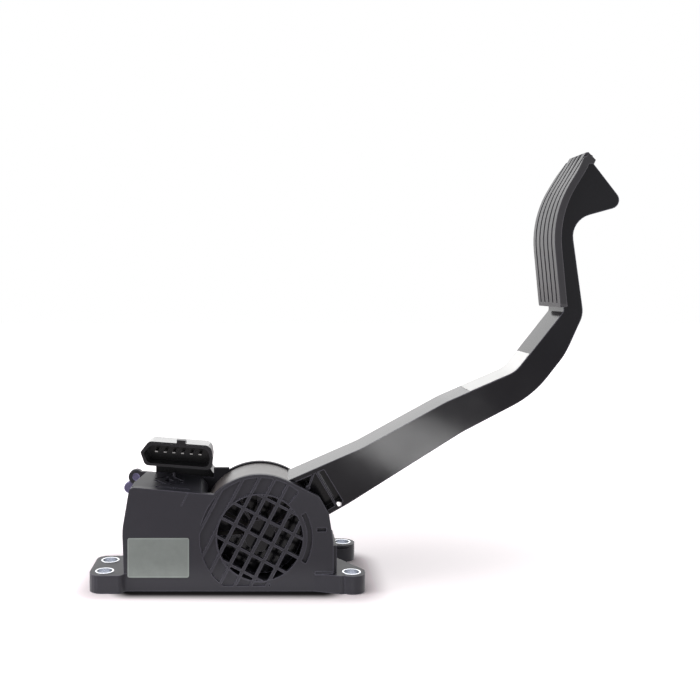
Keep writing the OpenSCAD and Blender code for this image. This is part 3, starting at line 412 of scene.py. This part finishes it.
def plastic(name, colour, roughness=None, specular=0.2, grain=1.0, coat=0.0, edge_highlight=2.5):
    """A moulded plastic; grain is a share of the scene's grain depth."""
    s = bpy.context.scene.pedal_plastic
    inputs = {
        "Colour": tuple(colour),
        "Roughness": s.roughness if roughness is None else roughness,
        "Grain Scale": 1.0 / s.grain_size,
        # How strongly a painted highlight lightens the rounded edges
        "Edge Wear": edge_highlight,
    }
    depth = s.grain_depth * grain
    return material(name, moulded_skin(), inputs, depth, specular=specular, coat=coat)


def metal(name, colour, roughness):
    """A turned or drawn metal."""
    inputs = {"Colour": colour, "Roughness": roughness}
    return material(name, turned_metal(), inputs, RING_DEPTH, metallic=1.0)


def clean_tree(data):
    """An empty node tree for a material or world."""
    data.use_nodes = True
    data.node_tree.nodes.clear()
    return data.node_tree


def numbered(name, count):
    """The names of like pieces, numbered from 1."""
    return ["%s_%d" % (name, i) for i in range(1, count + 1)]


def paint(mesh, finish):
    """Gives a whole mesh one material and smooth shading."""
    mesh.materials.clear()
    mesh.materials.append(finish)
    for face in mesh.polygons:
        face.use_smooth = True


def paint_faces(piece, finish, chosen):
    """Puts a second material on the faces that a test of centre and normal picks."""
    piece.data.materials.append(finish)
    for face in piece.data.polygons:
        if chosen(piece.matrix_world @ face.center, face.normal):
            face.material_index = 1


def dress(names, finish, edge=0.0, angle=28.0):
    """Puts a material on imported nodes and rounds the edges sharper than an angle."""
    for name in names:
        piece = NODES[name]
        paint(piece.data, finish)
        if edge > 0.0:
            flat = piece.modifiers.new("Flat faces", "DECIMATE")
            flat.decimate_type = "DISSOLVE"
            flat.angle_limit = math.radians(FLAT_ANGLE)
            flat.delimit = {"NORMAL", "MATERIAL"}
            round_over = piece.modifiers.new("Rounded edges", "BEVEL")
            round_over.width = edge
            round_over.segments = 2
            round_over.limit_method = "ANGLE"
            round_over.angle_limit = math.radians(angle)
            round_over.use_clamp_overlap = True
            round_over.harden_normals = True
            round_over.miter_outer = "MITER_ARC"
        else:
            split = piece.modifiers.new("Crisp edges", "EDGE_SPLIT")
            split.split_angle = math.radians(angle)


def wound_spring(name, finish):
    """A smooth-shaded copy of a packed spring, which takes the place of the imported one."""
    piece = bpy.data.objects.new("wound_" + name, NODES[name].data.copy())
    bpy.context.scene.collection.objects.link(piece)
    paint(piece.data, finish)
    piece.data.set_sharp_from_angle(angle=math.radians(WIRE_ANGLE))
    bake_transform(piece)
    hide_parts(name)


class PieceOperator:
    """What all piece operators share."""

    bl_options = {"REGISTER", "UNDO"}


class PEDAL_OT_housing(PieceOperator, bpy.types.Operator):
    """Housing with the lattice grille, and the side cover"""

    bl_idname = "pedal.housing"
    bl_label = "Housing and cover"

    def execute(self, context):
        colour = context.scene.pedal_plastic.housing_colour
        edge = context.scene.pedal_edges.moulded
        dress(["housing"], plastic("Black nylon", colour), edge)
        darker = [channel * COVER_SHADE for channel in colour]
        dress(["side_cover"], plastic("Cover nylon", darker), edge)
        return {"FINISHED"}


class PEDAL_OT_arm(PieceOperator, bpy.types.Operator):
    """Pedal arm with drum, channel ribs and wing"""

    bl_idname = "pedal.arm"
    bl_label = "Pedal arm"

    def execute(self, context):
        s = context.scene.pedal_plastic
        # The arm's rounded edges get a strong painted highlight
        nylon = plastic("Arm nylon", s.arm_colour,
                        roughness=0.135, specular=0.18, grain=0.2, edge_highlight=15.0)
        dress(["pedal_arm"], nylon, context.scene.pedal_edges.arm)
        # The drum around the pivot gets a duller finish and a lighter colour; the lighter colour
        # is painted light, for the light that falls on its curve
        drum = plastic("Drum nylon", s.lit_drum_colour, roughness=0.36, specular=0.46, grain=0.3)

        def on_drum(centre, normal):
            spot = centre - PIVOT
            return math.hypot(spot.x, spot.z) < DRUM_REACH and abs(normal.y) < 0.5

        paint_faces(NODES["pedal_arm"], drum, on_drum)
        return {"FINISHED"}


class PEDAL_OT_pad(PieceOperator, bpy.types.Operator):
    """Tread pad with its grooves"""

    bl_idname = "pedal.pad"
    bl_label = "Tread pad"

    def execute(self, context):
        colour = context.scene.pedal_plastic.pad_colour
        finish = plastic("Pad plastic", colour, roughness=0.33, specular=0.25, edge_highlight=2.0)
        dress(["pedal_pad"], finish, context.scene.pedal_edges.pad)
        return {"FINISHED"}


class PEDAL_OT_labels(PieceOperator, bpy.types.Operator):
    """Blank foil label on the housing and blank paper label on the arm"""

    bl_idname = "pedal.labels"
    bl_label = "Labels"

    def execute(self, context):
        low, high = (Vector(corner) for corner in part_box("housing_label"))
        foil = {
            "Colour": (0.140, 0.159, 0.148),
            "Roughness": 0.42,
            "Mottle": 0.45,
            "Centre": (low + high) / 2,
            "Half Size": (high - low) / 2,
            "Border": 0.35,
        }
        paper = {"Colour": (0.84, 0.84, 0.83), "Roughness": 0.5, "Mottle": 0.06}
        film = printed_film()
        dress(["housing_label"], material("Foil label", film, foil, 0.000004, coat=0.1))
        dress(["arm_label"], material("Paper label", film, paper, 0.000006))
        return {"FINISHED"}


class PEDAL_OT_connector(PieceOperator, bpy.types.Operator):
    """Connector shell, sensor body and lid, terminals and circuit board"""

    bl_idname = "pedal.connector"
    bl_label = "Connector and sensor"

    def execute(self, context):
        colour = context.scene.pedal_plastic.connector_colour
        shell = plastic("Connector plastic", colour, roughness=0.30, specular=0.22, grain=0.4)
        dress(["connector_housing", "sensor_lid"], shell, context.scene.pedal_edges.moulded)
        # The shell's top is glossier than its mouth
        gloss = plastic("Connector gloss", colour,
                        roughness=0.22, specular=0.8, grain=0.1, coat=0.33)
        piece = NODES["connector_housing"]
        highest = max((piece.matrix_world @ v.co).z for v in piece.data.vertices)

        def on_top(centre, normal):
            return normal.z > 0.6 and centre.z > highest - GLOSS_DEPTH

        paint_faces(piece, gloss, on_top)
        # The terminals' colour is darkened: painted shade for the dark mouth of the connector
        tin = metal("Tinned terminal", (0.24, 0.24, 0.235), roughness=0.4)
        dress(numbered("terminal", 6), tin, edge=0.0002)
        lacquer = plastic("Board lacquer", (0.02, 0.10, 0.045), roughness=0.25)
        dress(["circuit_board"], lacquer, edge=0.0001)
        return {"FINISHED"}


class PEDAL_OT_sensor_inside(PieceOperator, bpy.types.Operator):
    """Wiper carrier, wiper contacts and shaft clip"""

    bl_idname = "pedal.sensor_inside"
    bl_label = "Sensor inside"

    def execute(self, context):
        carrier = plastic("Carrier plastic", (0.60, 0.57, 0.48), roughness=0.45)
        bronze = metal("Contact bronze", (0.78, 0.56, 0.25), roughness=0.25)
        steel = metal("Clip steel", (0.35, 0.35, 0.37), roughness=0.3)
        dress(["wiper_carrier"], carrier, edge=0.0002)
        dress(["wiper_contacts"], bronze, edge=0.00008)
        dress(["shaft_clip"], steel, edge=0.0001)
        return {"FINISHED"}


class PEDAL_OT_pivot(PieceOperator, bpy.types.Operator):
    """Pivot shaft and its two plain bearings"""

    bl_idname = "pedal.pivot"
    bl_label = "Pivot"

    def execute(self, context):
        edge = context.scene.pedal_edges.metal
        steel = metal("Ground steel", (0.62, 0.63, 0.65), roughness=0.22)
        bronze = metal("Sintered bronze", (0.60, 0.42, 0.20), roughness=0.45)
        dress(["pivot_shaft"], steel, edge)
        dress(["near_bearing", "far_bearing"], bronze, edge)
        return {"FINISHED"}


class PEDAL_OT_springs(PieceOperator, bpy.types.Operator):
    """Return springs and the friction spring"""

    bl_idname = "pedal.springs"
    bl_label = "Springs"

    def execute(self, context):
        # The spring steel is darkened: painted shade for the dark inside of the drum
        steel = metal("Spring steel", (0.13, 0.13, 0.145), roughness=0.36)
        wound_spring("outer_return_spring", steel)
        wound_spring("inner_return_spring", steel)
        dress(["friction_spring"], steel, angle=WIRE_ANGLE)
        return {"FINISHED"}


class PEDAL_OT_friction(PieceOperator, bpy.types.Operator):
    """Friction shoe and the two rubber stops"""

    bl_idname = "pedal.friction"
    bl_label = "Friction shoe and stops"

    def execute(self, context):
        shoe = plastic("Shoe plastic", (0.08, 0.06, 0.045), roughness=0.55)
        rubber = plastic("Stop rubber", (0.012, 0.012, 0.012), roughness=0.75, specular=0.3)
        dress(["friction_shoe"], shoe, edge=0.0003)
        dress(["idle_stop", "full_travel_stop"], rubber, edge=0.0002)
        return {"FINISHED"}


class PEDAL_OT_fasteners(PieceOperator, bpy.types.Operator):
    """Mount bushes, screws and the rear plug"""

    bl_idname = "pedal.fasteners"
    bl_label = "Bushes, screws, plug"

    def execute(self, context):
        edge = context.scene.pedal_edges.metal
        steel = metal("Bush steel", (0.74, 0.76, 0.80), roughness=0.24)
        zinc = metal("Zinc screw", (0.55, 0.56, 0.58), roughness=0.34)
        plug = plastic("Plug plastic", (0.10, 0.09, 0.16), roughness=0.32)
        dress(numbered("mount_bush", 4), steel, edge)
        dress(numbered("cover_screw", 4) + numbered("sensor_screw", 3), zinc, edge)
        dress(["rear_plug"], plug, edge=0.0004)
        return {"FINISHED"}


class PEDAL_OT_studio(PieceOperator, bpy.types.Operator):
    """Pale floor, soft lamps, room light and the camera"""

    bl_idname = "pedal.studio"
    bl_label = "Studio"

    def execute(self, context):
        scene = context.scene
        scene.view_settings.view_transform = "Standard"
        self.room(scene)
        self.floor(scene)
        for name, lamp in LAMPS.items():
            self.lamp(scene, name, *lamp)
        self.camera(scene)
        return {"FINISHED"}

    def room(self, scene):
        """Even light from all sides, which the camera and reflections see as plain white."""
        world = bpy.data.worlds.new("Room")
        scene.world = world
        tree = clean_tree(world)
        rays = add(tree, "ShaderNodeLightPath").outputs
        seen = maths(tree, "ADD", rays["Is Camera Ray"], rays["Is Glossy Ray"])
        seen = maths(tree, "ADD", seen, rays["Is Transmission Ray"], clamp=True)
        mix = add(tree, "ShaderNodeMixShader")
        tree.links.new(seen, mix.inputs[0])
        for socket, strength in ((1, scene.pedal_studio.world_strength), (2, 1.0)):
            light = add(tree, "ShaderNodeBackground")
            light.inputs["Color"].default_value = (1.0, 1.0, 1.0, 1.0)
            light.inputs["Strength"].default_value = strength
            tree.links.new(light.outputs[0], mix.inputs[socket])
        out = add(tree, "ShaderNodeOutputWorld")
        tree.links.new(mix.outputs[0], out.inputs["Surface"])

    def floor(self, scene):
        """A wide pale floor that keeps the shadow and reads white to the camera."""
        mesh = bpy.data.meshes.new("Floor")
        bm = bmesh.new()
        bmesh.ops.create_grid(bm, x_segments=2, y_segments=2, size=3.0)
        bm.to_mesh(mesh)
        bm.free()
        floor = bpy.data.objects.new("Floor", mesh)
        floor.location = (0.0, 0.0, -0.0002)
        scene.collection.objects.link(floor)
        made = bpy.data.materials.new("Pale floor")
        mesh.materials.append(made)
        tree = clean_tree(made)
        s = scene.pedal_studio
        rays = add(tree, "ShaderNodeLightPath").outputs
        # To the camera the glow grows with the distance from the base, so its shadow stays
        away = self.distance(tree, *BASE_OUTLINE)
        near = self.ramp(tree, away, NEAR_RISE, 0.0, s.floor_glow)
        far = self.ramp(tree, away, FAR_RISE, 0.0, FAR_GLOW)
        glow = maths(tree, "ADD", near, far)
        glow = maths(tree, "MULTIPLY", glow, rays["Is Camera Ray"])
        # In reflections the floor glows brightest close to the base: a painted glow, which lights
        # the base's low faces
        bright = self.ramp(tree, away, BRIGHT_FALL, s.floor_glow + s.near_glow, s.floor_glow)
        mirrored = maths(tree, "ADD", rays["Is Glossy Ray"], rays["Is Transmission Ray"],
                         clamp=True)
        glow = maths(tree, "MULTIPLY_ADD", mirrored, bright, glow)
        # A contact shade between the feet, painted for the camera only
        between = self.distance(tree, *NEAR_STRIP)
        dark = self.ramp(tree, between, SHADE_FALL, SHADE_DEPTH, 0.0)
        dark = maths(tree, "MULTIPLY", dark, rays["Is Camera Ray"])
        colour = scaled(tree, FLOOR_COLOUR, maths(tree, "SUBTRACT", 1.0, dark))
        matt = add(tree, "ShaderNodeBsdfDiffuse")
        tree.links.new(colour, matt.inputs["Color"])
        light = add(tree, "ShaderNodeEmission")
        tree.links.new(glow, light.inputs["Strength"])
        both = add(tree, "ShaderNodeAddShader")
        tree.links.new(matt.outputs[0], both.inputs[0])
        tree.links.new(light.outputs[0], both.inputs[1])
        out = add(tree, "ShaderNodeOutputMaterial")
        tree.links.new(both.outputs[0], out.inputs["Surface"])

    def distance(self, tree, centre, half):
        """The distance of a point on the floor from a rectangle."""
        point = add(tree, "ShaderNodeTexCoord").outputs["Object"]
        return vector_steps(tree, point, [
            ("SUBTRACT", centre), ("ABSOLUTE", None), ("SUBTRACT", half),
            ("MAXIMUM", (0.0, 0.0, 0.0)), ("LENGTH", None)])

    def ramp(self, tree, value, ends, first, last):
        """A soft change from the first to the last number between two values."""
        node = add(tree, "ShaderNodeMapRange", interpolation_type="SMOOTHSTEP")
        labels = ("From Min", "From Max", "To Min", "To Max")
        for label, number in zip(labels, (*ends, first, last)):
            node.inputs[label].default_value = number
        tree.links.new(value, node.inputs["Value"])
        return node.outputs["Result"]

    def lamp(self, scene, name, place, target, width, height, power, turn, spread):
        """A rectangular lamp that looks at a target, turned about its own axis."""
        data = bpy.data.lights.new(name, "AREA")
        data.shape = "RECTANGLE"
        data.size = width
        data.size_y = height
        data.energy = getattr(scene.pedal_studio, power)
        data.spread = math.radians(spread)
        lamp = bpy.data.objects.new(name, data)
        lamp.location = place
        lamp.visible_camera = False
        aim = (Vector(target) - Vector(place)).to_track_quat("-Z", "Y")
        about = Quaternion((0.0, 0.0, 1.0), math.radians(turn))
        lamp.rotation_euler = (aim @ about).to_euler()
        scene.collection.objects.link(lamp)

    def camera(self, scene):
        """The camera, level and square to the pedal, with its frame shifted."""
        data = bpy.data.cameras.new("Camera")
        data.lens = scene.pedal_studio.focal_length
        data.sensor_width = 36.0
        data.shift_x, data.shift_y = CAMERA_SHIFT
        data.clip_start = 0.01
        data.clip_end = 20.0
        camera = bpy.data.objects.new("Camera", data)
        camera.location = CAMERA_PLACE
        camera.rotation_euler = (math.radians(90.0), 0.0, 0.0)
        scene.collection.objects.link(camera)
        scene.camera = camera


OPERATORS = [
    PEDAL_OT_housing,
    PEDAL_OT_arm,
    PEDAL_OT_pad,
    PEDAL_OT_labels,
    PEDAL_OT_connector,
    PEDAL_OT_sensor_inside,
    PEDAL_OT_pivot,
    PEDAL_OT_springs,
    PEDAL_OT_friction,
    PEDAL_OT_fasteners,
    PEDAL_OT_studio,
]


class PEDAL_PT_panel(bpy.types.Panel):
    """Sidebar panel with the settings and one button for each piece or group"""

    bl_idname = "PEDAL_PT_panel"
    bl_label = "Accelerator pedal"
    bl_space_type = "VIEW_3D"
    bl_region_type = "UI"
    bl_category = "Pedal"

    def draw(self, context):
        for key, settings in SETTINGS.items():
            group = getattr(context.scene, key)
            box = self.layout.box()
            for name in settings.__annotations__:
                box.prop(group, name)
        for operator in OPERATORS:
            self.layout.operator(operator.bl_idname)


CLASSES = [*SETTINGS.values(), *OPERATORS, PEDAL_PT_panel]


def register():
    """Registers the classes and hangs the settings on the scene."""
    for cls in CLASSES:
        bpy.utils.register_class(cls)
    for key, settings in SETTINGS.items():
        setattr(bpy.types.Scene, key, bpy.props.PointerProperty(type=settings))


def unregister():
    """Takes back what register did."""
    for key in SETTINGS:
        delattr(bpy.types.Scene, key)
    for cls in reversed(CLASSES):
        bpy.utils.unregister_class(cls)


def main():
    """Builds the dressed pedal and its studio."""
    register()
    for operator in OPERATORS:
        group, name = operator.bl_idname.split(".")
        getattr(getattr(bpy.ops, group), name)()


if __name__ == "__main__":
    main()
